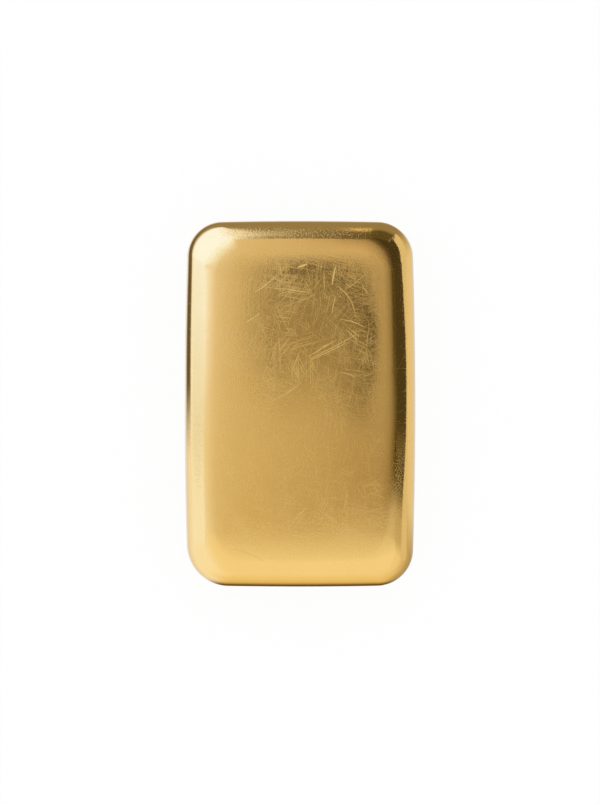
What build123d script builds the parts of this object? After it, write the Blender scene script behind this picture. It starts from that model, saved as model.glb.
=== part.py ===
from build123d import *
import os
from math import cos, radians, tan

# A cast gold bar of about 250 g: one piece of metal, lying on its poured face with its mould face up.
#
# The metal was poured into an open mould and turned out of it when it had set. The mould gave the bar
# its rounded plan corners, its slightly bowed sides, the draft of its walls and the broad round that
# runs into its flat face. The free surface of the metal gave it the underside, which is plain and flat,
# with a tighter round along the rim.
#
# Frame: millimetres, +Z up, +Y along the length and +X along the width. The origin is at the centre of
# the underside, so the bar rests on the plane Z = 0.

# Overall size of the finished bar
LENGTH = 50.0
WIDTH = 31.5
THICKNESS = 8.95

# Plan: how far the long and short sides bow outwards, and the corner rounds, one of them worn
SIDE_BOW = 0.47
END_BOW = 0.24
CORNER_RADIUS = 5.0
WORN_CORNER_RADIUS = 5.8

# Section: the lean of the walls in degrees, the round at the mould face and the round at the rim
DRAFT_ANGLE = 4.0
FACE_EDGE_RADIUS = 3.9
RIM_RADIUS = 1.5

# The most of the smallest corner round that the round at the mould face may take up
FACE_EDGE_LIMIT_SHARE = 0.9


def rim_allowance():
    """How far the walls, drawn straight down to the underside, stand outside the finished bar.

    The round of the rim takes off that much, so that the widest section measures LENGTH by WIDTH.
    """
    draft_angle = radians(DRAFT_ANGLE)
    return RIM_RADIUS * (tan(draft_angle) + 1 / cos(draft_angle) - 1)


def face_edge_radius():
    """The round at the mould face, limited by the corner rounds that are left at that height."""
    smallest_corner = min(CORNER_RADIUS, WORN_CORNER_RADIUS) + rim_allowance()
    corner_at_face = smallest_corner - THICKNESS * tan(radians(DRAFT_ANGLE))
    return min(FACE_EDGE_RADIUS, FACE_EDGE_LIMIT_SHARE * corner_at_face)


def foot_outline():
    """The plan of the walls at the underside: four bowed sides, three even corners and a worn one."""
    allowance = rim_allowance()
    half_width = WIDTH / 2 + allowance
    half_length = LENGTH / 2 + allowance
    corner_x = half_width - SIDE_BOW
    corner_y = half_length - END_BOW
    right = ThreePointArc((corner_x, -corner_y), (half_width, 0), (corner_x, corner_y))
    far = ThreePointArc((corner_x, corner_y), (0, half_length), (-corner_x, corner_y))
    left = ThreePointArc((-corner_x, corner_y), (-half_width, 0), (-corner_x, -corner_y))
    near = ThreePointArc((-corner_x, -corner_y), (0, -half_length), (corner_x, -corner_y))
    outline = make_face([right, far, left, near])
    worn_corner, *even_corners = outline.vertices().sort_by(lambda corner: corner.X + corner.Y)
    outline = fillet(even_corners, CORNER_RADIUS + allowance)
    worn_corner = outline.vertices().sort_by_distance(worn_corner)[0]
    return fillet(worn_corner, WORN_CORNER_RADIUS + allowance)


def cast_bar():
    """The outline raised to the bar's thickness, its walls drafted, its face edge and rim rounded."""
    bar = extrude(foot_outline(), THICKNESS)
    walls = bar.faces().filter_by(Axis.Z, reverse=True)
    bar = draft(walls, Plane.XY, DRAFT_ANGLE)
    mould_face = bar.faces().sort_by(Axis.Z)[-1]
    bar = fillet(mould_face.edges(), face_edge_radius())
    underside = bar.faces().sort_by(Axis.Z)[0]
    return fillet(underside.edges(), RIM_RADIUS)


os.makedirs("parts", exist_ok=True)
ingot = cast_bar()
ingot.label = "ingot"
export_step(ingot, os.path.join("parts", "ingot.step"))
print("ingot volume", round(ingot.volume, 1), "mm3, size", ingot.bounding_box().size)
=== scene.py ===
import math
import bpy
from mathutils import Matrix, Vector, noise


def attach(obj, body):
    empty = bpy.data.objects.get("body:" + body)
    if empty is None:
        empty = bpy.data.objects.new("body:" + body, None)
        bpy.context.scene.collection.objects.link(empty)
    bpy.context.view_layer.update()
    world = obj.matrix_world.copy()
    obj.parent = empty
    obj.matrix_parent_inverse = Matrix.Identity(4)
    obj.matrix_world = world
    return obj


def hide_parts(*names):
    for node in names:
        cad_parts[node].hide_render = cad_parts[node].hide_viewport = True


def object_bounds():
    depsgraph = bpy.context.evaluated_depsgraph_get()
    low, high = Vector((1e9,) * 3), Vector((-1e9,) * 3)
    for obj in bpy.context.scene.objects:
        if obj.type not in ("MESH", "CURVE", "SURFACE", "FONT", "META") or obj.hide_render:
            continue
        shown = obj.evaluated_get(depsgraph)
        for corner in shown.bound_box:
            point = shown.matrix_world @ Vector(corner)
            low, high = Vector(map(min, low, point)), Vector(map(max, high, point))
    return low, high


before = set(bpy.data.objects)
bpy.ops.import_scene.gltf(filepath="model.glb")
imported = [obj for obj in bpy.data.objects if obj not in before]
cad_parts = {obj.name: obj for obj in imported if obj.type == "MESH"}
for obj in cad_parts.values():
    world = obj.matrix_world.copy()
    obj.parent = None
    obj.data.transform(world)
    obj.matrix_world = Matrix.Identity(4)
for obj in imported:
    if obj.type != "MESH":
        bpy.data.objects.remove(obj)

mm = 0.001
cadLow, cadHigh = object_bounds()
print("frame loaded, box in mm", [round(side / mm, 2) for side in cadHigh - cadLow])

# the cast skin: the solid's plan and section, in mm, with the fine relief that casting and handling leave
skin = {
    "sideBow": 0.47,
    "endBow": 0.24,
    "cornerRadius": 5.0,
    "wornCornerRadius": 5.8,  # the corner at -X -Y
    "draftDegrees": 4.0,
    "faceEdgeRadius": 3.9,
    "rimRadius": 1.5,
    "shoulderDegrees": 6.0,  # the face leans this much where its round begins
    "shoulderWidth": 1.4,  # how far in from there the lean has dropped to about a third
    "shoulderFade": 2.2,  # how far out the round has taken over
    "cornerSpread": 2.6,  # the rounds widen in the corners, so the flat's are softer than the outline's
    "crownRadius": 1200.0,  # the face is very slightly domed
    "longSteps": 120,
    "shortSteps": 72,
    "cornerSteps": 24,
    "rimSteps": 8,
    "wallSteps": 6,
    "edgeSteps": 24,
    "swellSize": 9.0,  # slow unevenness from the mould
    "swellDepth": 0.030,
    "rippleSize": 2.2,  # finer unevenness that breaks up the reflections
    "rippleDepth": 0.005,
    "rippleShift": (7.3, 1.9, 4.1),
    "dentsAbove": 0.3,  # upward part of the skin's direction over which it has dents
    "flatBelow": -0.5,  # and under which it lies on the floor
    "undersideMark": 40.0,  # third coordinate of the unrolled skin on the underside
    "dents": [  # x, y, radius, depth
        (-11.9, -19.4, 0.45, 0.012),
        (0.3, 18.9, 0.50, 0.007),
        (12.7, 4.4, 0.50, 0.010),
        (5.1, -21.9, 0.80, 0.010),
    ],
}


def arcChain(inset, extra):
    # the plan drawn in by inset, its corners widened by extra, as eight arcs: centre, radius, first and last
    # angle, counter-clockwise from the +X +Y corner
    halfWidth = (cadHigh.x - cadLow.x) / 2 / mm
    halfLength = (cadHigh.y - cadLow.y) / 2 / mm
    cornerX, cornerY = halfWidth - skin["sideBow"], halfLength - skin["endBow"]
    sideRadius = (cornerY ** 2 + skin["sideBow"] ** 2) / (2 * skin["sideBow"])
    endRadius = (cornerX ** 2 + skin["endBow"] ** 2) / (2 * skin["endBow"])
    sideCentre, endCentre = halfWidth - sideRadius, halfLength - endRadius

    def cornerOf(radius):
        # the centre of the round that touches both bowed sides, from two circles that cross
        a, b = sideRadius - radius - extra, endRadius - radius - extra
        gap = math.hypot(sideCentre, endCentre)
        along = (a * a - b * b + gap * gap) / (2 * gap)
        off = math.sqrt(a * a - along * along)
        ux, uy = -sideCentre / gap, endCentre / gap
        first = (sideCentre + along * ux - off * uy, along * uy + off * ux)
        second = (sideCentre + along * ux + off * uy, along * uy - off * ux)
        centre = max(first, second, key=lambda point: point[0] + point[1])
        low = math.atan2(centre[1], centre[0] - sideCentre)
        high = math.atan2(centre[1] - endCentre, centre[0])
        return centre, low, high

    chain = []
    corners = [(1, 1), (-1, 1), (-1, -1), (1, -1)]
    for signX, signY in corners:
        worn = (signX, signY) == (-1, -1)
        radius = skin["wornCornerRadius"] if worn else skin["cornerRadius"]
        centre, low, high = cornerOf(radius)
        if signX * signY > 0:
            turn = 0.0 if signX > 0 else math.pi
            first, last = low + turn, high + turn
        else:
            turn = math.pi if signX < 0 else 2 * math.pi
            first, last = (turn - high, turn - low)
        chain.append(((signX * centre[0], signY * centre[1]), radius - inset + extra, first, last))
    sides = [((0.0, endCentre), endRadius - inset), ((-sideCentre, 0.0), sideRadius - inset),
             ((0.0, -endCentre), endRadius - inset), ((sideCentre, 0.0), sideRadius - inset)]
    arcs = []
    for index, (centre, radius) in enumerate(sides):
        corner, after = chain[index], chain[(index + 1) % 4]
        arcs.append(corner)
        last = after[2] + (2 * math.pi if index == 3 else 0.0)
        arcs.append((centre, radius, corner[3], last))
    return arcs


def loopSamples(inset, extra):
    # points and outward directions round the plan, starting in the middle of the +X +Y corner
    samples = []
    for index, (centre, radius, first, last) in enumerate(arcChain(inset, extra)):
        steps = [skin["cornerSteps"], skin["shortSteps"], skin["cornerSteps"], skin["longSteps"]][index % 4]
        for step in range(steps):
            angle = first + (last - first) * step / steps
            outward = Vector((math.cos(angle), math.sin(angle), 0.0))
            samples.append((Vector((*centre, 0.0)) + outward * radius, outward))
    half = skin["cornerSteps"] // 2
    return samples[half:] + samples[:half]


def smooth(value):
    value = min(max(value, 0.0), 1.0)
    return value * value * (3 - 2 * value)


def edgeInset():
    # how far the flat of the face starts inside the widest outline
    thickness = (cadHigh.z - cadLow.z) / mm
    draft = math.radians(skin["draftDegrees"])
    allowance = skin["rimRadius"] * (math.tan(draft) + 1 / math.cos(draft) - 1)
    wallInset = (thickness - skin["faceEdgeRadius"]) * math.tan(draft) - allowance
    return skin["faceEdgeRadius"] / math.cos(draft) + wallInset


def sectionRows():
    # inset from the widest outline, height, widening of the corners, length along the skin from the face out
    thickness = (cadHigh.z - cadLow.z) / mm
    draft = math.radians(skin["draftDegrees"])
    rim, edge = skin["rimRadius"], skin["faceEdgeRadius"]
    rows = []
    for step in range(skin["edgeSteps"] + 1):
        angle = math.pi / 2 + (draft - math.pi / 2) * step / skin["edgeSteps"]
        share = 1 - (math.cos(angle) / math.cos(draft))
        rows.append([edgeInset() - edge * math.cos(angle), thickness - edge + edge * math.sin(angle),
                     skin["cornerSpread"] * share])
    topInset, topHeight, _ = rows[-1]
    footInset = rim - rim * math.cos(draft)
    footHeight = rim + rim * math.sin(draft)
    for step in range(1, skin["wallSteps"]):
        share = step / skin["wallSteps"]
        rows.append([topInset + (footInset - topInset) * share,
                     topHeight + (footHeight - topHeight) * share, 0.0])
    for step in range(skin["rimSteps"] + 1):
        angle = draft + (-math.pi / 2 - draft) * step / skin["rimSteps"]
        rows.append([rim - rim * math.cos(angle), rim + rim * math.sin(angle), 0.0])
    length = 0.0
    for index, row in enumerate(rows):
        if index:
            length += math.dist(row[:2], rows[index - 1][:2])
        row.append(length)
    return rows


def shoulderDrop(x, y, flatX, flatY):
    # how far the face drops from its flat: its lean grows towards the flat's end and fades in the round
    turn = skin["cornerRadius"] - edgeInset() + skin["cornerSpread"]
    pastX, pastY = abs(x) - flatX + turn, abs(y) - flatY + turn
    past = math.hypot(max(pastX, 0.0), max(pastY, 0.0)) + min(max(pastX, pastY), 0.0) - turn
    width, fade = skin["shoulderWidth"], skin["shoulderFade"]
    lean = math.tan(math.radians(skin["shoulderDegrees"]))
    if past < 0:
        return lean * width * math.exp(past / width)
    share = min(past / fade, 1.0)
    return lean * (width + fade / 3 * (1 - (1 - share) ** 3))


def coonsGrid(loop, across, along):
    # fills a closed loop of points with a grid: the loop runs +Y side, -X side, -Y side, +X side
    far = loop[:across + 1][::-1]
    left = loop[across:across + along + 1][::-1]
    near = loop[across + along:2 * across + along + 1]
    right = loop[2 * across + along:] + loop[:1]
    grid = []
    for j in range(along + 1):
        t = j / along
        row = []
        for i in range(across + 1):
            s = i / across
            edges = near[i] * (1 - t) + far[i] * t + left[j] * (1 - s) + right[j] * s
            ends = (near[0] * (1 - s) + near[-1] * s) * (1 - t) + (far[0] * (1 - s) + far[-1] * s) * t
            row.append(edges - ends)
        grid.append(row)
    return grid


def makeSkin():
    rows = sectionRows()
    across = skin["shortSteps"] + skin["cornerSteps"]
    along = skin["longSteps"] + skin["cornerSteps"]
    points, unrolled, faces = [], [], []
    flatLoop = loopSamples(rows[0][0], rows[0][2])
    count = len(flatLoop)
    for inset, height, extra, length in rows:
        for (place, _), (flatPlace, outward) in zip(loopSamples(inset, extra), flatLoop):
            points.append(place + Vector((0.0, 0.0, height)))
            unrolled.append(flatPlace + outward * length)
    for ring in range(len(rows) - 1):
        for step in range(count):
            a, b = ring * count + step, ring * count + (step + 1) % count
            faces.append((a, a + count, b + count, b))

    def addCap(ringStart, upward):
        loop = points[ringStart:ringStart + count]
        grid = coonsGrid(loop, across, along)
        index = {}
        border = ([(across - i, along) for i in range(across)] + [(0, along - j) for j in range(along)]
                  + [(i, 0) for i in range(across)] + [(across, j) for j in range(along)])
        for step, key in enumerate(border):
            index[key] = ringStart + step
        for j in range(1, along):
            for i in range(1, across):
                index[(i, j)] = len(points)
                points.append(grid[j][i])
                mark = 0.0 if upward else skin["undersideMark"]
                unrolled.append(Vector((grid[j][i].x, grid[j][i].y, mark)))
        for j in range(along):
            for i in range(across):
                quad = (index[(i, j)], index[(i + 1, j)], index[(i + 1, j + 1)], index[(i, j + 1)])
                faces.append(quad if upward else quad[::-1])

    addCap(0, True)
    addCap((len(rows) - 1) * count, False)

    thickness = (cadHigh.z - cadLow.z) / mm
    wallTop = thickness - skin["faceEdgeRadius"]
    flatX, flatY = cadHigh.x / mm - edgeInset(), cadHigh.y / mm - edgeInset()
    for point in points:
        rise = smooth((point.z - wallTop) / skin["faceEdgeRadius"])
        crown = (point.x ** 2 + point.y ** 2) / (2 * skin["crownRadius"])
        point.z -= rise * (crown + shoulderDrop(point.x, point.y, flatX, flatY))

    mesh = bpy.data.meshes.new("ingotSkin")
    mesh.from_pydata([point * mm for point in points], [], faces)
    mesh.update()
    normals = [vertex.normal.copy() for vertex in mesh.vertices]
    for vertex, point, normal in zip(mesh.vertices, points, normals):
        swell = noise.noise(point / skin["swellSize"]) * 0.5 + 0.5
        ripple = noise.noise(point / skin["rippleSize"] + Vector(skin["rippleShift"])) * 0.5 + 0.5
        depth = swell * skin["swellDepth"] + ripple * skin["rippleDepth"]
        if normal.z > skin["dentsAbove"]:
            for x, y, radius, dentDepth in skin["dents"]:
                depth += dentDepth * (1 - smooth(math.hypot(point.x - x, point.y - y) / radius))
        if normal.z < skin["flatBelow"]:
            depth = 0.0
        vertex.co = (point - normal * depth) * mm
    layer = mesh.attributes.new("unrolled", "FLOAT_VECTOR", "POINT")
    for item, place in zip(layer.data, unrolled):
        item.vector = place
    mesh.polygons.foreach_set("use_smooth", [True] * len(mesh.polygons))
    mesh.update()
    piece = bpy.data.objects.new("ingotSkin", mesh)
    bpy.context.scene.collection.objects.link(piece)
    print("skin made,", len(points), "points,", 2 * len(faces), "triangles")
    return piece


ingotSkin = makeSkin()
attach(ingotSkin, "root")
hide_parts("ingot")


def newNode(tree, kind, **settings):
    made = tree.nodes.new("ShaderNode" + kind)
    for key, value in settings.items():
        setattr(made, key, value)
    return made


def feed(tree, socket, value):
    # a socket takes a link, or a plain number or vector
    if isinstance(value, bpy.types.NodeSocket):
        tree.links.new(value, socket)
    else:
        socket.default_value = value


def maths(tree, operation, first, second=None):
    made = newNode(tree, "Math", operation=operation)
    feed(tree, made.inputs[0], first)
    if second is not None:
        feed(tree, made.inputs[1], second)
    return made.outputs[0]


def vectors(tree, operation, first, second=None):
    made = newNode(tree, "VectorMath", operation=operation)
    feed(tree, made.inputs[0], first)
    if second is not None:
        feed(tree, made.inputs["Scale"] if operation == "SCALE" else made.inputs[1], second)
    return made.outputs["Value" if operation in ("DOT_PRODUCT", "LENGTH") else "Vector"]


def fadeOut(tree, value, low, high):
    # 1 under low, 0 over high
    made = newNode(tree, "MapRange", interpolation_type="SMOOTHSTEP")
    feed(tree, made.inputs["Value"], value)
    feed(tree, made.inputs["From Min"], low)
    feed(tree, made.inputs["From Max"], high)
    made.inputs["To Min"].default_value, made.inputs["To Max"].default_value = 1.0, 0.0
    return made.outputs["Result"]


def newGroup(name, inputs, output):
    tree = bpy.data.node_groups.new(name, "ShaderNodeTree")
    for socketName, kind in inputs.items():
        tree.interface.new_socket(name=socketName, in_out="INPUT", socket_type="NodeSocket" + kind)
    tree.interface.new_socket(name=output, in_out="OUTPUT", socket_type="NodeSocketFloat")
    return tree, tree.nodes.new("NodeGroupInput").outputs, tree.nodes.new("NodeGroupOutput").inputs[0]


hairline = {
    "scatter": 0.7,
    "coreShare": 0.15,  # full strength over this share of the width
    "endFade": (0.35, 1.0),
    "toneRange": 0.6, "toneFloor": 0.4,
}


def hairlineGroup():
    # one short scratch per cell, at its own angle, length and bend
    tree, given, mask = newGroup("hairlines", {"Place": "Vector", "Cell": "Float", "Width": "Float",
                                               "Length": "Float", "Share": "Float", "Bend": "Float"}, "Mask")
    cells = newNode(tree, "TexVoronoi", voronoi_dimensions="2D")
    cells.inputs["Randomness"].default_value = hairline["scatter"]
    feed(tree, cells.inputs["Vector"], given["Place"])
    feed(tree, cells.inputs["Scale"], maths(tree, "DIVIDE", 1.0, given["Cell"]))
    chance = newNode(tree, "SeparateColor")
    feed(tree, chance.inputs[0], cells.outputs["Color"])
    turn = newNode(tree, "VectorRotate", rotation_type="Z_AXIS")
    feed(tree, turn.inputs["Vector"], vectors(tree, "SUBTRACT", given["Place"], cells.outputs["Position"]))
    feed(tree, turn.inputs["Angle"], maths(tree, "MULTIPLY", chance.outputs["Red"], 2 * math.pi))
    local = newNode(tree, "SeparateXYZ")
    feed(tree, local.inputs[0], turn.outputs[0])
    along = maths(tree, "ABSOLUTE", local.outputs["X"])
    reach = maths(tree, "DIVIDE", along, given["Length"])
    bow = maths(tree, "MULTIPLY", maths(tree, "SUBTRACT", chance.outputs["Blue"], 0.5), given["Bend"])
    bowed = maths(tree, "MULTIPLY", bow, maths(tree, "MULTIPLY", reach, reach))
    across = maths(tree, "ABSOLUTE", maths(tree, "ADD", local.outputs["Y"], bowed))
    core = maths(tree, "MULTIPLY", given["Width"], hairline["coreShare"])
    line = fadeOut(tree, across, core, given["Width"])
    ends = fadeOut(tree, reach, *hairline["endFade"])
    chosen = maths(tree, "LESS_THAN", chance.outputs["Green"], given["Share"])
    tone = maths(tree, "MULTIPLY", chance.outputs["Blue"], hairline["toneRange"])
    tone = maths(tree, "MULTIPLY", chosen, maths(tree, "ADD", tone, hairline["toneFloor"]))
    feed(tree, mask, maths(tree, "MULTIPLY", maths(tree, "MULTIPLY", line, ends), tone))
    return tree


strokeForm = {
    "bellyGain": 2.4, "tipShare": 0.4,  # a stroke is thin at its tips and full in the middle
    "coreShare": 0.2,
}


def strokeGroup():
    # one scratch from start to end, with an even bow
    tree, given, mask = newGroup("stroke", {"Place": "Vector", "Start": "Vector", "End": "Vector",
                                            "Width": "Float", "Bow": "Float"}, "Mask")
    run = vectors(tree, "SUBTRACT", given["End"], given["Start"])
    here = vectors(tree, "SUBTRACT", given["Place"], given["Start"])
    ratio = maths(tree, "DIVIDE", vectors(tree, "DOT_PRODUCT", here, run),
                  vectors(tree, "DOT_PRODUCT", run, run))
    share = newNode(tree, "Clamp")
    feed(tree, share.inputs["Value"], ratio)
    share = share.outputs[0]
    side = vectors(tree, "NORMALIZE", vectors(tree, "CROSS_PRODUCT", run, (0, 0, 1)))
    arc = maths(tree, "MULTIPLY", share, maths(tree, "SUBTRACT", 1.0, share))
    bow = maths(tree, "MULTIPLY", given["Bow"], 4.0)  # the arc is at most a quarter
    offset = vectors(tree, "SCALE", side, maths(tree, "MULTIPLY", arc, bow))
    line = vectors(tree, "ADD", vectors(tree, "SCALE", run, share), offset)
    gap = vectors(tree, "LENGTH", vectors(tree, "SUBTRACT", here, line))
    belly = maths(tree, "ADD", maths(tree, "MULTIPLY", arc, strokeForm["bellyGain"]), strokeForm["tipShare"])
    taper = maths(tree, "MULTIPLY", given["Width"], belly)
    feed(tree, mask, fadeOut(tree, gap, maths(tree, "MULTIPLY", taper, strokeForm["coreShare"]), taper))
    return tree


def windowGroup():
    # a soft-edged box on the skin, whose half size in Z keeps it off the underside
    tree, given, mask = newGroup("window", {"Place": "Vector", "Centre": "Vector", "Half": "Vector",
                                            "Soft": "Vector"}, "Mask")
    past = vectors(tree, "ABSOLUTE", vectors(tree, "SUBTRACT", given["Place"], given["Centre"]))
    past = vectors(tree, "DIVIDE", vectors(tree, "SUBTRACT", past, given["Half"]), given["Soft"])
    parts = newNode(tree, "SeparateXYZ")
    feed(tree, parts.inputs[0], past)
    inside = fadeOut(tree, parts.outputs["Z"], 0.0, 1.0)
    for axis in "XY":
        inside = maths(tree, "MULTIPLY", inside, fadeOut(tree, parts.outputs[axis], 0.0, 1.0))
    feed(tree, mask, inside)
    return tree


def lineGroup():
    # many fine lines drawn out along one direction
    tree, given, mask = newGroup("fineLines", {"Place": "Vector", "Angle": "Float", "Stretch": "Vector",
                                               "Level": "Float", "Fade": "Float"}, "Mask")
    turn = newNode(tree, "VectorRotate", rotation_type="Z_AXIS")
    feed(tree, turn.inputs["Vector"], given["Place"])
    feed(tree, turn.inputs["Angle"], given["Angle"])
    lines = newNode(tree, "TexNoise", noise_dimensions="2D")
    feed(tree, lines.inputs["Vector"], vectors(tree, "MULTIPLY", turn.outputs[0], given["Stretch"]))
    lines.inputs["Scale"].default_value = 1.0
    lines.inputs["Detail"].default_value = 1.0
    lines.inputs["Roughness"].default_value = 0.5
    rise = maths(tree, "SUBTRACT", lines.outputs[0], given["Level"])
    share = newNode(tree, "Clamp")
    feed(tree, share.inputs["Value"], maths(tree, "DIVIDE", rise, given["Fade"]))
    feed(tree, mask, share.outputs[0])
    return tree


# worn gold: sizes in mm on the unrolled skin
wear = {
    "goldTint": (0.905, 0.625, 0.225),
    "deepTint": (0.875, 0.59, 0.195),
    "freshTint": (0.885, 0.605, 0.18),  # inside scratches
    "strokeTint": (0.96, 0.70, 0.21),  # inside the deepest ones
    "polish": 0.10, "smear": 0.15, "edgePolish": 0.07, "scratched": 0.46, "torn": 0.60, "pitted": 0.36,
    "noiseRoughness": 0.62,
    "smearSize": 0.22, "smearDetail": 4.0, "smearRange": (0.32, 0.68),
    # the face, outside which the rounds are polished by handling
    "face": {"centre": (0.0, 0.0, 0.0), "half": (10.6, 19.8, 1.0), "soft": (2.0, 2.0, 1.0)},
    # the most handled part
    "zone": {"centre": (2.0, 10.5, 0.0), "half": (5.0, 5.0, 1.0), "soft": (9.0, 10.0, 1.0)},
    "zoneFloor": 0.7,  # scattered scratches outside it keep this share
    "zoneThin": 0.052,  # and the fine lines thin out by this much of their level
    "edgeThin": 0.11, "edgeShare": 0.15,  # more so on the rounds
    "bendSize": 0.11, "bendReach": 1.6,
    "hairlines": [  # shift, cell, width, length, share, bend
        ((0.0, 0.0, 0.0), 6.0, 0.040, 2.9, 0.8, 1.4),
        ((31.7, 12.9, 0.0), 5.0, 0.036, 2.5, 0.8, 1.0),
        ((7.1, 53.3, 0.0), 4.4, 0.036, 2.2, 0.8, 1.2),
        ((71.9, 28.3, 0.0), 3.6, 0.034, 1.8, 0.8, 0.8),
        ((48.3, 71.7, 0.0), 3.2, 0.034, 1.6, 0.8, 0.7),
        ((15.9, 91.1, 0.0), 2.6, 0.032, 1.3, 0.8, 0.6),
    ],
    "hairlineDepth": 0.0012, "hairlineShare": 0.78,
    "lines": [  # degrees, stretch along and across, level, shift of the patches in which they gather
        (12, 0.11, 11.5, 0.700, (0.0, 0.0, 0.0)),
        (34, 0.13, 12.0, 0.704, (17.0, 5.0, 0.0)),
        (63, 0.12, 11.5, 0.704, (41.0, 23.0, 0.0)),
        (85, 0.08, 10.5, 0.696, (9.0, 37.0, 0.0)),
        (104, 0.12, 12.0, 0.701, (29.0, 61.0, 0.0)),
        (128, 0.13, 11.5, 0.704, (67.0, 13.0, 0.0)),
        (157, 0.12, 12.0, 0.704, (53.0, 47.0, 0.0)),
    ],
    "lineFade": 0.045, "lineDepth": 0.0004, "lineShare": 0.82, "gatherSize": 0.30, "gatherReach": 0.34,
    "brushes": [(4, 0.14, 3.4), (97, 0.08, 3.0)],  # soft streaks of wiping: degrees, stretch along and across
    "brushLevel": 0.46, "brushFade": 0.30, "brushShare": 0.22,
    # a band of upright lines
    "comb": {"centre": (3.0, 13.0, 0.0), "half": (0.9, 4.0, 1.0), "soft": (1.2, 2.0, 1.0)},
    "combDegrees": 96, "combStretch": (0.10, 9.0, 1.0), "combLevel": 0.66,
    "strokes": [  # start, end, width, bow
        ((1.55, 5.91), (6.23, 8.20), 0.078, 0.05),
        ((1.11, 6.30), (4.90, 8.53), 0.074, -0.04),
        ((1.47, 6.11), (7.38, 9.20), 0.070, 0.08),
        ((-6.11, 14.92), (-3.21, 17.26), 0.078, 0.12),
        ((-7.33, 10.90), (-5.44, 12.19), 0.062, 0.06),
        ((-2.76, 18.88), (-2.48, 17.20), 0.066, 0.0),
        ((-3.40, 15.50), (1.20, 14.90), 0.066, -0.08),
        ((-0.30, 18.35), (0.85, 18.75), 0.20, 0.05),
        ((3.20, 17.90), (3.28, 15.30), 0.052, 0.0),
        ((6.20, 10.00), (7.60, 8.70), 0.060, 0.05),
        ((6.90, 9.80), (7.95, 9.05), 0.054, 0.0),
        ((8.30, 16.10), (9.20, 14.70), 0.050, 0.06),
        ((4.79, 18.43), (4.33, 15.98), 0.16, 0.06),
        ((5.11, 15.75), (7.46, 11.63), 0.072, -0.55),
        ((4.79, 14.42), (4.28, 12.14), 0.062, 0.05),
        ((6.06, 15.30), (8.79, 17.43), 0.056, 0.1),
        ((5.45, 11.29), (8.69, 10.19), 0.068, -0.25),
        ((5.34, 4.19), (7.68, 3.29), 0.058, -0.2),
        ((-3.83, 0.28), (0.13, 2.85), 0.056, 0.2),
    ],
    "strokeDepth": 0.0035,
    "marks": [  # the few dark nicks of the lower face
        ((-10.11, -19.2), (-4.76, -21.2), 0.050, -0.25),
        ((4.67, -17.46), (5.11, -17.79), 0.055, 0.0),
        ((10.25, -16.29), (11.03, -16.73), 0.055, 0.0),
    ],
    "markDepth": 0.012,
    "wipes": [  # degrees, stretch along and across
        (7, 0.32, 6.0),
        (52, 0.40, 6.5),
        (96, 0.30, 6.0),
        (139, 0.40, 6.5),
    ],
    "wipeDepth": 0.0034, "edgeWipe": 0.45,  # the share left on the rounds
    "scuffs": [  # centre, half size, soft edge, stretch of the grain: handling wear on the rounded edges
        ((0.3, 23.3, 0.0), (4.0, 0.2, 1.0), (7.0, 1.3, 1.0), (6.5, 3.0, 1.0)),
        ((-13.9, -5.4, 0.0), (0.15, 2.4, 1.0), (1.3, 5.5, 1.0), (9.0, 4.0, 1.0)),
        ((-16.0, -3.2, 0.0), (0.15, 1.0, 1.0), (1.3, 4.0, 1.0), (8.0, 4.0, 1.0)),
        ((13.4, -8.6, 0.0), (0.15, 0.8, 1.0), (0.9, 4.5, 1.0), (7.0, 5.0, 1.0)),
    ],
    "pitLevel": 0.53, "pitThin": 0.22, "pitFade": 0.10, "pitTurn": 0.35, "pitDepth": 0.0040,
    "pitTint": (0.60, 0.42, 0.13), "pitShare": 0.6,
}


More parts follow.
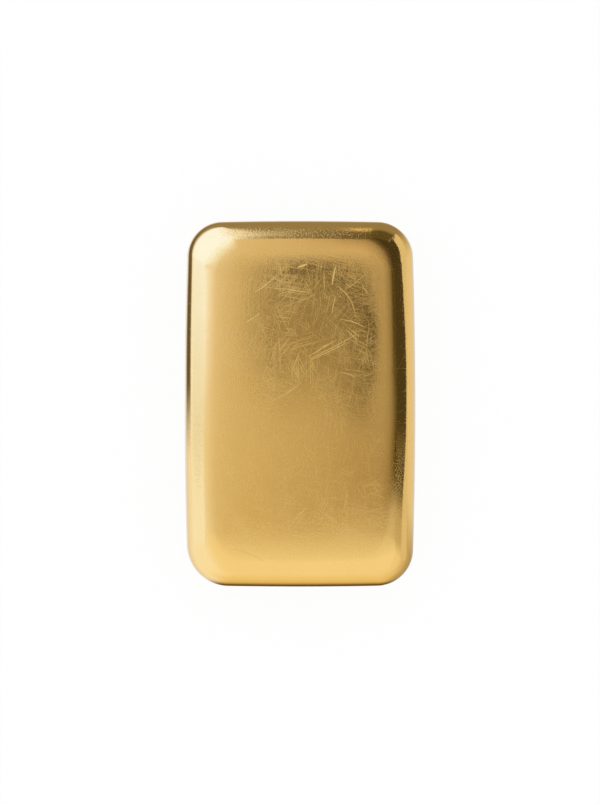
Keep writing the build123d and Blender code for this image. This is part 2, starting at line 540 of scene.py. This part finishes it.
def wornGold():
    material = bpy.data.materials.new("wornGold")
    material.use_nodes = True
    tree = material.node_tree
    shader = tree.nodes["Principled BSDF"]
    place = newNode(tree, "Attribute", attribute_name="unrolled").outputs["Vector"]
    hairlines, stroke, window, fineLines = hairlineGroup(), strokeGroup(), windowGroup(), lineGroup()

    def layer(group, **values):
        made = newNode(tree, "Group", node_tree=group)
        for key, value in values.items():
            feed(tree, made.inputs[key.capitalize()], value)
        return made.outputs[0]

    def linesAt(where, angle, stretch, level, fade):
        return layer(fineLines, place=where, angle=angle, stretch=stretch, level=level, fade=fade)

    def noiseAt(vector, scale, detail):
        made = newNode(tree, "TexNoise", noise_dimensions="2D")
        feed(tree, made.inputs["Vector"], vector)
        made.inputs["Scale"].default_value = scale
        made.inputs["Detail"].default_value = detail
        made.inputs["Roughness"].default_value = wear["noiseRoughness"]
        return made.outputs

    def most(masks):
        top = masks[0]
        for mask in masks[1:]:
            top = maths(tree, "MAXIMUM", top, mask)
        return top

    def times(value, factor):
        return maths(tree, "MULTIPLY", value, factor)

    def blended(kind, factor, first, second):
        made = newNode(tree, "Mix", data_type=kind)
        feed(tree, made.inputs["Factor"], factor)
        feed(tree, made.inputs["A"], first)
        feed(tree, made.inputs["B"], second)
        return made.outputs["Result"]

    def tint(name):
        return (*wear[name], 1)

    # scratches: scattered hairlines, fine lines in every direction, and the long ones listed one by one
    sway = vectors(tree, "SUBTRACT", noiseAt(place, wear["bendSize"], 1.0)["Color"], (0.5, 0.5, 0.5))
    swayed = vectors(tree, "ADD", place, vectors(tree, "SCALE", sway, wear["bendReach"]))
    zoneMask = layer(window, place=place, **wear["zone"])
    zone = maths(tree, "ADD", times(zoneMask, 1 - wear["zoneFloor"]), wear["zoneFloor"])
    faceMask = layer(window, place=place, **wear["face"])
    zone = times(zone, maths(tree, "ADD", times(faceMask, 1 - wear["edgeShare"]), wear["edgeShare"]))
    scattered = most([layer(hairlines, place=vectors(tree, "ADD", place, shift), cell=cell, width=width,
                            length=length, share=share, bend=bend)
                      for shift, cell, width, length, share, bend in wear["hairlines"]])
    lines = []
    thinning = maths(tree, "ADD", times(zoneMask, wear["zoneThin"]), times(faceMask, wear["edgeThin"]))
    for degrees, lengthwise, crosswise, level, shift in wear["lines"]:
        patches = noiseAt(vectors(tree, "ADD", place, shift), wear["gatherSize"], 1.0)[0]
        gathered = times(maths(tree, "SUBTRACT", patches, 0.5), wear["gatherReach"])
        level = maths(tree, "SUBTRACT", level + wear["zoneThin"] + wear["edgeThin"],
                      maths(tree, "ADD", thinning, gathered))
        lines.append(linesAt(swayed, math.radians(degrees), (lengthwise, crosswise, 1.0), level,
                             wear["lineFade"]))
    comb = linesAt(swayed, math.radians(wear["combDegrees"]), wear["combStretch"], wear["combLevel"],
                   wear["lineFade"])
    lines.append(times(layer(window, place=place, **wear["comb"]), comb))
    fine = times(most(lines), wear["lineShare"])
    weave = most([linesAt(swayed, math.radians(degrees), (lengthwise, crosswise, 1.0), wear["brushLevel"],
                          wear["brushFade"]) for degrees, lengthwise, crosswise in wear["brushes"]])
    drawn, marks = [most([layer(stroke, place=place, start=(*start, 0), end=(*end, 0), width=width, bow=bow)
                          for start, end, width, bow in wear[kind]]) for kind in ("strokes", "marks")]
    scratches = most([times(scattered, times(zone, wear["hairlineShare"])), fine,
                      times(weave, times(faceMask, wear["brushShare"]))])

    # specks on the scuffed edges
    specks = []
    for centre, half, soft, stretch in wear["scuffs"]:
        scuffed = layer(window, place=place, centre=centre, half=half, soft=soft)
        level = maths(tree, "SUBTRACT", wear["pitLevel"] + wear["pitThin"], times(scuffed, wear["pitThin"]))
        specks.append(linesAt(place, wear["pitTurn"], stretch, level, wear["pitFade"]))
    pits = most(specks)

    # slow smears of polish under them
    smears = noiseAt(place, wear["smearSize"], wear["smearDetail"])[0]
    polish = newNode(tree, "MapRange")
    feed(tree, polish.inputs["Value"], smears)
    for name, value in zip(("From Min", "From Max", "To Min", "To Max"),
                           (*wear["smearRange"], wear["polish"], wear["smear"])):
        polish.inputs[name].default_value = value
    rough = blended("FLOAT", faceMask, wear["edgePolish"], polish.outputs["Result"])
    rough = blended("FLOAT", scratches, rough, wear["scratched"])
    rough = blended("FLOAT", drawn, rough, wear["torn"])
    rough = blended("FLOAT", pits, rough, wear["pitted"])
    feed(tree, shader.inputs["Roughness"], rough)

    colour = blended("RGBA", smears, tint("deepTint"), tint("goldTint"))
    colour = blended("RGBA", scratches, colour, tint("freshTint"))
    colour = blended("RGBA", drawn, colour, tint("strokeTint"))
    colour = blended("RGBA", times(pits, wear["pitShare"]), colour, tint("pitTint"))
    feed(tree, shader.inputs["Base Color"], colour)

    # relief: crossed wiping lines, then what is cut into them
    height = 0.0
    for degrees, lengthwise, crosswise in wear["wipes"]:
        wipe = linesAt(swayed, math.radians(degrees), (lengthwise, crosswise, 1.0), 0.0, 1.0)
        height = maths(tree, "ADD", times(wipe, wear["wipeDepth"]), height)
    height = times(height, maths(tree, "ADD", times(faceMask, 1 - wear["edgeWipe"]), wear["edgeWipe"]))
    for mask, deep in ((times(scattered, zone), wear["hairlineDepth"]), (fine, wear["lineDepth"]),
                       (drawn, wear["strokeDepth"]), (marks, wear["markDepth"]), (pits, wear["pitDepth"])):
        height = maths(tree, "SUBTRACT", height, times(mask, deep))
    bump = newNode(tree, "Bump")
    bump.inputs["Strength"].default_value = 1.0
    bump.inputs["Distance"].default_value = mm
    feed(tree, bump.inputs["Height"], height)
    feed(tree, shader.inputs["Normal"], bump.outputs[0])
    shader.inputs["Metallic"].default_value = 1.0
    print("gold made,", len(tree.nodes), "nodes")
    return material


ingotSkin.data.materials.append(wornGold())


# the studio: a pale floor, a plain white world, and cards that only the metal's reflections see
studio = {
    "floorSize": 6.0,
    "floorGap": 0.02,  # mm under the bar
    "floorWhite": 0.95,
    "floorGlow": 0.94,  # share of the floor's white that does not depend on shadow
    "cameraDistance": 500.0,  # mm above the widest section
    "sensorWidth": 36.0, "clip": (0.01, 10.0),
    "photoHeight": 804,
    "barLengthPixels": 366.4,
    "barDropPixels": 1.5,  # the bar's centre is this far under the picture's
}


def whiteFloor():
    half = studio["floorSize"] / 2
    mesh = bpy.data.meshes.new("floor")
    low = -studio["floorGap"] * mm
    corners = [(-half, -half, low), (half, -half, low), (half, half, low), (-half, half, low)]
    mesh.from_pydata(corners, [], [(0, 1, 2, 3)])
    floor = bpy.data.objects.new("floor", mesh)
    bpy.context.scene.collection.objects.link(floor)
    paint = bpy.data.materials.new("paleFloor")
    paint.use_nodes = True
    tree = paint.node_tree
    tree.nodes.clear()
    white = studio["floorWhite"]
    matt = newNode(tree, "BsdfDiffuse")
    matt.inputs["Color"].default_value = (white, white, white, 1)
    path = newNode(tree, "LightPath").outputs
    seen = maths(tree, "MAXIMUM", path["Is Camera Ray"], path["Is Glossy Ray"])
    seen = maths(tree, "MAXIMUM", seen, path["Is Transmission Ray"])
    lit = newNode(tree, "MixShader")
    feed(tree, lit.inputs["Fac"], maths(tree, "MULTIPLY", seen, studio["floorGlow"]))
    feed(tree, lit.inputs[1], matt.outputs[0])
    feed(tree, lit.inputs[2], newNode(tree, "Emission").outputs[0])
    # clear from below, so that the underside can be looked at
    through = newNode(tree, "MixShader")
    feed(tree, through.inputs["Fac"], newNode(tree, "NewGeometry").outputs["Backfacing"])
    feed(tree, through.inputs[1], lit.outputs[0])
    feed(tree, through.inputs[2], newNode(tree, "BsdfTransparent").outputs[0])
    feed(tree, newNode(tree, "OutputMaterial").inputs["Surface"], through.outputs[0])
    mesh.materials.append(paint)


def cardMaterial():
    paint = bpy.data.materials.new("studioCard")
    paint.use_nodes = True
    tree = paint.node_tree
    tree.nodes.clear()
    glow = newNode(tree, "Emission")
    feed(tree, glow.inputs["Color"], newNode(tree, "Attribute", attribute_name="glow").outputs["Color"])
    feed(tree, newNode(tree, "OutputMaterial").inputs["Surface"], glow.outputs[0])
    return paint


cardPaint = cardMaterial()


def makeCard(name, steps, placeAt, glowAt):
    # a card as a grid: placeAt(u, v) gives a point in mm, glowAt(point) the colour that it sends to the metal
    across, along = steps
    points = [Vector(placeAt(i / across, j / along)) for j in range(along + 1) for i in range(across + 1)]
    faces = []
    for j in range(along):
        for i in range(across):
            a = j * (across + 1) + i
            faces.append((a, a + 1, a + across + 2, a + across + 1))
    mesh = bpy.data.meshes.new(name)
    mesh.from_pydata([point * mm for point in points], [], faces)
    layer = mesh.attributes.new("glow", "FLOAT_COLOR", "POINT")
    for item, point in zip(layer.data, points):
        red, green, blue = glowAt(point)
        item.color = (red, green, blue, 1)
    mesh.materials.append(cardPaint)
    card = bpy.data.objects.new(name, mesh)
    print("card", name, "made")
    bpy.context.scene.collection.objects.link(card)
    for ray in ("camera", "diffuse", "transmission", "volume_scatter", "shadow"):
        setattr(card, "visible_" + ray, False)


def between(low, high, value):
    return smooth((value - low) / (high - low))


def blendTint(first, second, share):
    return [a + (b - a) * share for a, b in zip(first, second)]


def along(stops, value):
    # a tint or number between the two stops on either side of a place
    for (low, first), (high, second) in zip(stops, stops[1:]):
        if value <= high:
            share = min(max((value - low) / (high - low), 0.0), 1.0)
            if isinstance(first, tuple):
                return blendTint(first, second, share)
            return first + (second - first) * share
    return stops[-1][1]


# overhead scrim: bright to the left and the near end, dim to the right, with a dark patch painted on it to
# stand in for the camera, so that the face shows a painted reflection of the camera
scrim = {
    "steps": (152, 210), "height": 70.0,
    "left": -76.0, "right": 76.0, "near": -125.0, "far": 85.0,
    "farStops": [(-76, (1.12, 1.38, 2.5)), (-33, (0.95, 0.97, 1.2)), (-8, (0.80, 0.73, 0.67)),
                 (14, (0.60, 0.50, 0.41)), (28, (0.42, 0.35, 0.28)), (37, (0.15, 0.12, 0.08)),
                 (50, (0.07, 0.055, 0.03))],
    "upperStops": [(-76, (1.12, 1.38, 2.5)), (-33, (0.92, 0.92, 1.1)), (-12, (0.74, 0.69, 0.61)),
                   (-5, (0.61, 0.53, 0.44)), (25, (0.52, 0.45, 0.37)), (46, (0.35, 0.30, 0.22)),
                   (60, (0.10, 0.08, 0.04))],
    "lowerStops": [(-76, (0.97, 1.02, 1.2)), (-33, (0.85, 0.81, 0.80)), (-8, (0.73, 0.65, 0.52)),
                   (12, (0.53, 0.45, 0.35)), (37, (0.43, 0.37, 0.28)), (70, (0.17, 0.14, 0.08))],
    "upperFade": (-8.0, 16.0), "farFade": (24.5, 31.5),  # where the three lists run into each other
    # the dark right part comes inwards at the far end
    "farSlant": 0.55, "slantY": 50.0, "slantFade": (0.0, 12.0),
    # the far left corner is brightest: stops by the product of the distances past these
    "cornerX": -12.0, "cornerY": 26.0, "cornerFade": (0.0, 90.0),
    "cornerStops": [(0, (0.90, 0.86, 0.98)), (175, (1.0, 1.12, 1.65)), (350, (1.08, 1.38, 2.5)),
                    (1000, (1.11, 1.5, 3.2))],
    "nearTint": (1.02, 0.99, 0.95),
    # below nothing: a dimmer band before the near glow
    "nearShares": [(-55, 1.0), (-35, 0.74), (-26.5, 0.52), (-21.5, -0.05), (-17.5, -0.14), (-8, 0.0)],
    # the near glow starts earlier towards the right
    "nearLift": 3.8, "nearLiftFade": (0.0, 10.0), "sideLift": 3.0, "sideLiftFade": (20.0, 60.0),
    "nearLeftTint": (1.08, 1.15, 1.5), "nearLeftX": (32.0, 76.0), "nearLeftY": (0.0, 60.0),
    # lens tints: the painted dark patch that stands in for the camera, darker towards its far and right rim
    "lensTint": (0.345, 0.293, 0.22), "lensDarkTint": (0.07, 0.06, 0.042),
    "lensX": 2.5, "lensY": 13.2, "lensLeft": 11.2, "lensRight": 16.6, "lensFar": 16.3,
    "leftTaper": 0.30, "rightTaper": 0.10,  # how the opening narrows towards its foot
    "lensEdge": (0.86, 1.04), "lensPower": 1.5, "leftPower": 2.0, "lensCut": 0.35,
    "rimFade": (0.35, 0.75), "rimSide": (-0.5, 0.4),
    "lensFoot": 10.0, "footFade": 6.0, "feet": [(-2.8, 3.2, 6.8), (10.2, 5.4, 9.8)],  # x, width, depth
}


def scrimPlace(u, v):
    return (scrim["left"] + (scrim["right"] - scrim["left"]) * u,
            scrim["near"] + (scrim["far"] - scrim["near"]) * v, scrim["height"])


def lensShares(point):
    # the painted dark patch that stands in for the camera: a round shape with two soft feet, and how far out
    # towards its far and right rim a point lies
    offX, offY = point.x - scrim["lensX"], point.y - scrim["lensY"]
    drop = max(-offY, 0.0)
    if offX > 0:
        across, power = offX / (scrim["lensRight"] - scrim["rightTaper"] * drop), scrim["lensPower"]
    else:
        across, power = offX / (scrim["lensLeft"] - scrim["leftTaper"] * drop), scrim["leftPower"]
    up = max(offY, 0.0) / scrim["lensFar"]
    out = (abs(across) ** power + up ** power) ** (1 / power) + scrim["lensCut"] * max(across, 0.0) * up
    foot = scrim["lensFoot"]
    for place, width, depth in scrim["feet"]:
        foot -= depth * math.exp(-((point.x - place) / width) ** 2)
    inside = (1 - between(*scrim["lensEdge"], out)) * between(foot - scrim["footFade"], foot, point.y)
    return inside, between(*scrim["rimFade"], out) * between(*scrim["rimSide"], across + up)


def scrimGlow(point):
    tint = blendTint(along(scrim["lowerStops"], point.x), along(scrim["upperStops"], point.x),
                     between(*scrim["upperFade"], point.y))
    slant = scrim["farSlant"] * (point.y - scrim["slantY"]) * between(*scrim["slantFade"], point.x)
    tint = blendTint(tint, along(scrim["farStops"], point.x + slant), between(*scrim["farFade"], point.y))
    corner = max(scrim["cornerX"] - point.x, 0.0) * max(point.y - scrim["cornerY"], 0.0)
    tint = blendTint(tint, along(scrim["cornerStops"], corner), between(*scrim["cornerFade"], corner))
    lift = (scrim["nearLift"] * between(*scrim["nearLiftFade"], point.x)
            + scrim["sideLift"] * between(*scrim["sideLiftFade"], point.x))
    tint = blendTint(tint, scrim["nearTint"], along(scrim["nearShares"], point.y - lift))
    tint = blendTint(tint, scrim["nearLeftTint"],
                     between(*scrim["nearLeftX"], -point.x) * between(*scrim["nearLeftY"], -point.y))
    inside, rim = lensShares(point)
    return blendTint(tint, blendTint(scrim["lensTint"], scrim["lensDarkTint"], rim), inside)


makeCard("scrim", scrim["steps"], scrimPlace, scrimGlow)

# curved softbox round the left and the near end, coolest round the far corner and warm at the near foot
softbox = {
    "steps": (114, 16), "radius": 125.0, "low": 0.4, "high": 190.0,
    "firstDegrees": 328.0, "lastDegrees": 100.0,
    "stops": [(100, (1.1, 1.3, 2.4)), (112, (1.11, 1.5, 3.2)), (160, (1.11, 1.5, 3.1)),
              (182, (0.97, 1.1, 1.55)), (188, (1.05, 1.22, 1.85)), (235, (1.08, 1.15, 1.4)),
              (262, (1.03, 1.0, 0.95)), (328, (0.97, 0.93, 0.86))],
    "footStops": [(235, (1.08, 1.15, 1.4)), (255, (0.98, 0.90, 0.68)), (285, (0.95, 0.86, 0.64)),
                  (328, (0.70, 0.63, 0.52))],
    "footDegrees": (215.0, 240.0), "footFade": (4.0, 60.0),
}


def softboxPlace(u, v):
    angle = math.radians(softbox["firstDegrees"] + (softbox["lastDegrees"] - softbox["firstDegrees"]) * u)
    reach = softbox["radius"]
    return (reach * math.cos(angle), reach * math.sin(angle),
            softbox["low"] + (softbox["high"] - softbox["low"]) * v)


def softboxGlow(point):
    degrees = math.degrees(math.atan2(point.y, point.x)) % 360
    tint = along(softbox["stops"], degrees)
    foot = between(*softbox["footDegrees"], degrees) * (1 - between(*softbox["footFade"], point.z))
    return blendTint(tint, along(softbox["footStops"], degrees), foot)


makeCard("softbox", softbox["steps"], softboxPlace, softboxGlow)

# dark flags: one on the right that ends at the floor's horizon, one at the far end
rightFlag = {
    "steps": (105, 4), "lowSteps": (105, 2),
    "x": 112.0, "near": -70.0, "far": 140.0, "floor": 0.2, "high": 190.0,
    "lows": [(-70, 60.0), (-20, 42.0), (-6, 16.0), (4, 12.0), (11, 15.0), (34, 52.0), (126, 74.0),
             (140, 20.0)],  # its lower edge
    "lowTint": (0.82, 0.78, 0.73),  # the light under it
    "stops": [(-70, (0.95, 0.92, 0.88)), (-23, (0.62, 0.55, 0.44)), (-17.5, (0.13, 0.10, 0.06)),
              (-13, (0.07, 0.055, 0.03)), (-9.5, (0.21, 0.17, 0.11)), (-5, (0.08, 0.065, 0.035)),
              (140, (0.06, 0.05, 0.025))],
}
farFlag = {
    "steps": (140, 60), "y": 142.0, "left": -28.0, "right": 112.0, "low": 0.2, "high": 190.0,
    "stops": [(-28, (1.11, 1.5, 3.2)), (-15, (1.06, 1.25, 1.9)), (-8, (0.76, 0.70, 0.58)),
              (0, (0.32, 0.275, 0.175)), (11, (0.18, 0.145, 0.08)), (30, (0.12, 0.10, 0.05))],
    "footTint": (0.34, 0.295, 0.21), "footShare": 0.4,
    "footHighs": [(-28, 1.0), (-17, 6.0), (-8, 75.0), (0, 50.0)],
    "topTint": (0.26, 0.22, 0.145), "topShare": 0.65, "topFade": (84.0, 104.0),
    "topX": (-15.0, -9.0), "topEndX": (-4.0, 2.0),
    "streakTint": (1.05, 0.86, 0.58),  # a glint in the far right corner
    "streakX": 12.6, "streakHalfX": 5.0, "streakZ": 26.0, "streakHalfZ": 30.0,
}


def rightFlagPlace(u, v):
    y = rightFlag["near"] + (rightFlag["far"] - rightFlag["near"]) * u
    low = along(rightFlag["lows"], y)
    return rightFlag["x"], y, low + (rightFlag["high"] - low) * v


def rightLowPlace(u, v):
    x, y, low = rightFlagPlace(u, 0.0)
    return x, y, rightFlag["floor"] + (low - rightFlag["floor"]) * v


def farFlagPlace(u, v):
    return (farFlag["left"] + (farFlag["right"] - farFlag["left"]) * u, farFlag["y"],
            farFlag["low"] + (farFlag["high"] - farFlag["low"]) * v)


def farFlagGlow(point):
    high = along(farFlag["footHighs"], point.x)
    tint = blendTint(farFlag["footTint"], along(farFlag["stops"], point.x),
                     between(farFlag["footShare"] * high, high, point.z))
    top = farFlag["topShare"] * between(*farFlag["topFade"], point.z) * between(*farFlag["topX"], point.x)
    tint = blendTint(tint, farFlag["topTint"], top * (1 - between(*farFlag["topEndX"], point.x)))
    streak = ((1 - between(0.0, farFlag["streakHalfX"], abs(point.x - farFlag["streakX"])))
              * (1 - between(0.0, farFlag["streakHalfZ"], abs(point.z - farFlag["streakZ"]))))
    return blendTint(tint, farFlag["streakTint"], streak)


makeCard("rightFlag", rightFlag["steps"], rightFlagPlace, lambda point: along(rightFlag["stops"], point.y))
makeCard("rightLow", rightFlag["lowSteps"], rightLowPlace, lambda point: rightFlag["lowTint"])
makeCard("farFlag", farFlag["steps"], farFlagPlace, farFlagGlow)

# a sheet on the floor round the bar, which its rounded edges and walls mirror, painted with the floor's light
# and shade: painted shadow close to the bar and beyond the far end, painted cool light further out on the
# left; stops by distance from the bar
sheet = {
    "steps": (236, 266), "height": 0.3, "left": -125.0, "right": 111.0, "near": -125.0, "far": 141.0,
    "coreX": 10.75, "coreY": 20.0, "round": 5.0,
    # far end: light right next to the bar, then a painted shadow from about 4.5 mm out over the whole far
    # side
    "farStops": [(0, (1.05, 1.03, 1.0)), (1.0, (0.92, 0.90, 0.88)), (2.2, (0.60, 0.57, 0.52)),
                 (4.5, (0.34, 0.30, 0.23)), (115, (0.36, 0.32, 0.24))],
    # upper left: a painted shadow band from about 5 to 18 mm out, then painted cool light from about 32 mm
    # out
    "upperLeftStops": [(0, (0.95, 0.92, 0.88)), (5, (0.13, 0.11, 0.08)), (18, (0.18, 0.155, 0.12)),
                       (32, (1.05, 1.2, 1.8)), (60, (1.08, 1.35, 2.3))],
    "lowerLeftStops": [(0, (0.86, 0.80, 0.70)), (4, (0.92, 0.92, 1.0)), (12, (1.0, 1.10, 1.5)),
                       (60, (1.08, 1.2, 1.75))],
    "rightStops": [(0, (0.73, 0.68, 0.60)), (6, (0.88, 0.85, 0.82))],
    # near right: painted shade next to the bar, lightening outwards
    "nearRightStops": [(0, (0.44, 0.38, 0.27)), (12, (0.58, 0.51, 0.40)), (60, (0.72, 0.65, 0.53))],
    # near end: a painted contact shadow, darkest within 4 mm of the bar and fading out by 24 mm
    "nearShadowStops": [(0, (0.14, 0.085, 0.02)), (4, (0.16, 0.10, 0.03)), (7, (0.46, 0.36, 0.19)),
                  (12, (0.74, 0.62, 0.36)), (24, (0.91, 0.81, 0.56))],
    "leftFade": (-8.0, 4.0), "rightFade": (-23.0, -14.0),  # where each side changes along the bar
    "leftSweep": 90.0, "rightSweep": 58.0,  # degrees round a corner from the side's stops to the end's
    "leftTurn": (58.0, 88.0), "rightTurn": (50.0, 82.0),  # where the near end's painted contact shadow fades in
}


def sheetPlace(u, v):
    return (sheet["left"] + (sheet["right"] - sheet["left"]) * u,
            sheet["near"] + (sheet["far"] - sheet["near"]) * v, sheet["height"])


def paintedFloorLightAndShade(point):
    offX = max(abs(point.x) - sheet["coreX"], 0.0)
    offY = max(abs(point.y) - sheet["coreY"], 0.0)
    gap = max(math.hypot(offX, offY) - sheet["round"], 0.0)
    degrees = math.degrees(math.atan2(offY, offX))
    if point.x < 0:
        sweep, turn = sheet["leftSweep"], sheet["leftTurn"]
        corner = along(sheet["lowerLeftStops"], gap)
        side = blendTint(corner, along(sheet["upperLeftStops"], gap), between(*sheet["leftFade"], point.y))
    else:
        sweep, turn = sheet["rightSweep"], sheet["rightTurn"]
        corner = along(sheet["nearRightStops"], gap)
        side = blendTint(corner, along(sheet["rightStops"], gap), between(*sheet["rightFade"], point.y))
    if point.y > 0:
        end = along(sheet["farStops"], gap)
    else:
        end = blendTint(corner, along(sheet["nearShadowStops"], gap), between(*turn, degrees))
    return blendTint(side, end, smooth(degrees / sweep))


makeCard("sheet", sheet["steps"], sheetPlace, paintedFloorLightAndShade)


def worldAndCamera():
    scene = bpy.context.scene
    world = bpy.data.worlds.new("whiteStudio")
    world.use_nodes = True
    world.node_tree.nodes["Background"].inputs["Color"].default_value = (1, 1, 1, 1)
    world.node_tree.nodes["Background"].inputs["Strength"].default_value = 1.0
    scene.world = world
    data = bpy.data.cameras.new("camera")
    camera = bpy.data.objects.new("camera", data)
    scene.collection.objects.link(camera)
    length = (cadHigh.y - cadLow.y) / mm
    perPixel = length / studio["barLengthPixels"]
    picture = perPixel * studio["photoHeight"]
    widest = skin["rimRadius"]
    data.sensor_fit = "AUTO"
    data.sensor_width = studio["sensorWidth"]
    data.lens = data.sensor_width / picture * studio["cameraDistance"]
    data.clip_start, data.clip_end = studio["clip"]
    camera.location = Vector((0, studio["barDropPixels"] * perPixel, widest + studio["cameraDistance"])) * mm
    camera.rotation_euler = (0, 0, 0)  # straight down, +Y up in the picture
    scene.camera = camera
    scene.view_settings.view_transform = "Standard"
    print("camera lens", round(data.lens, 1), "mm")


whiteFloor()
worldAndCamera()
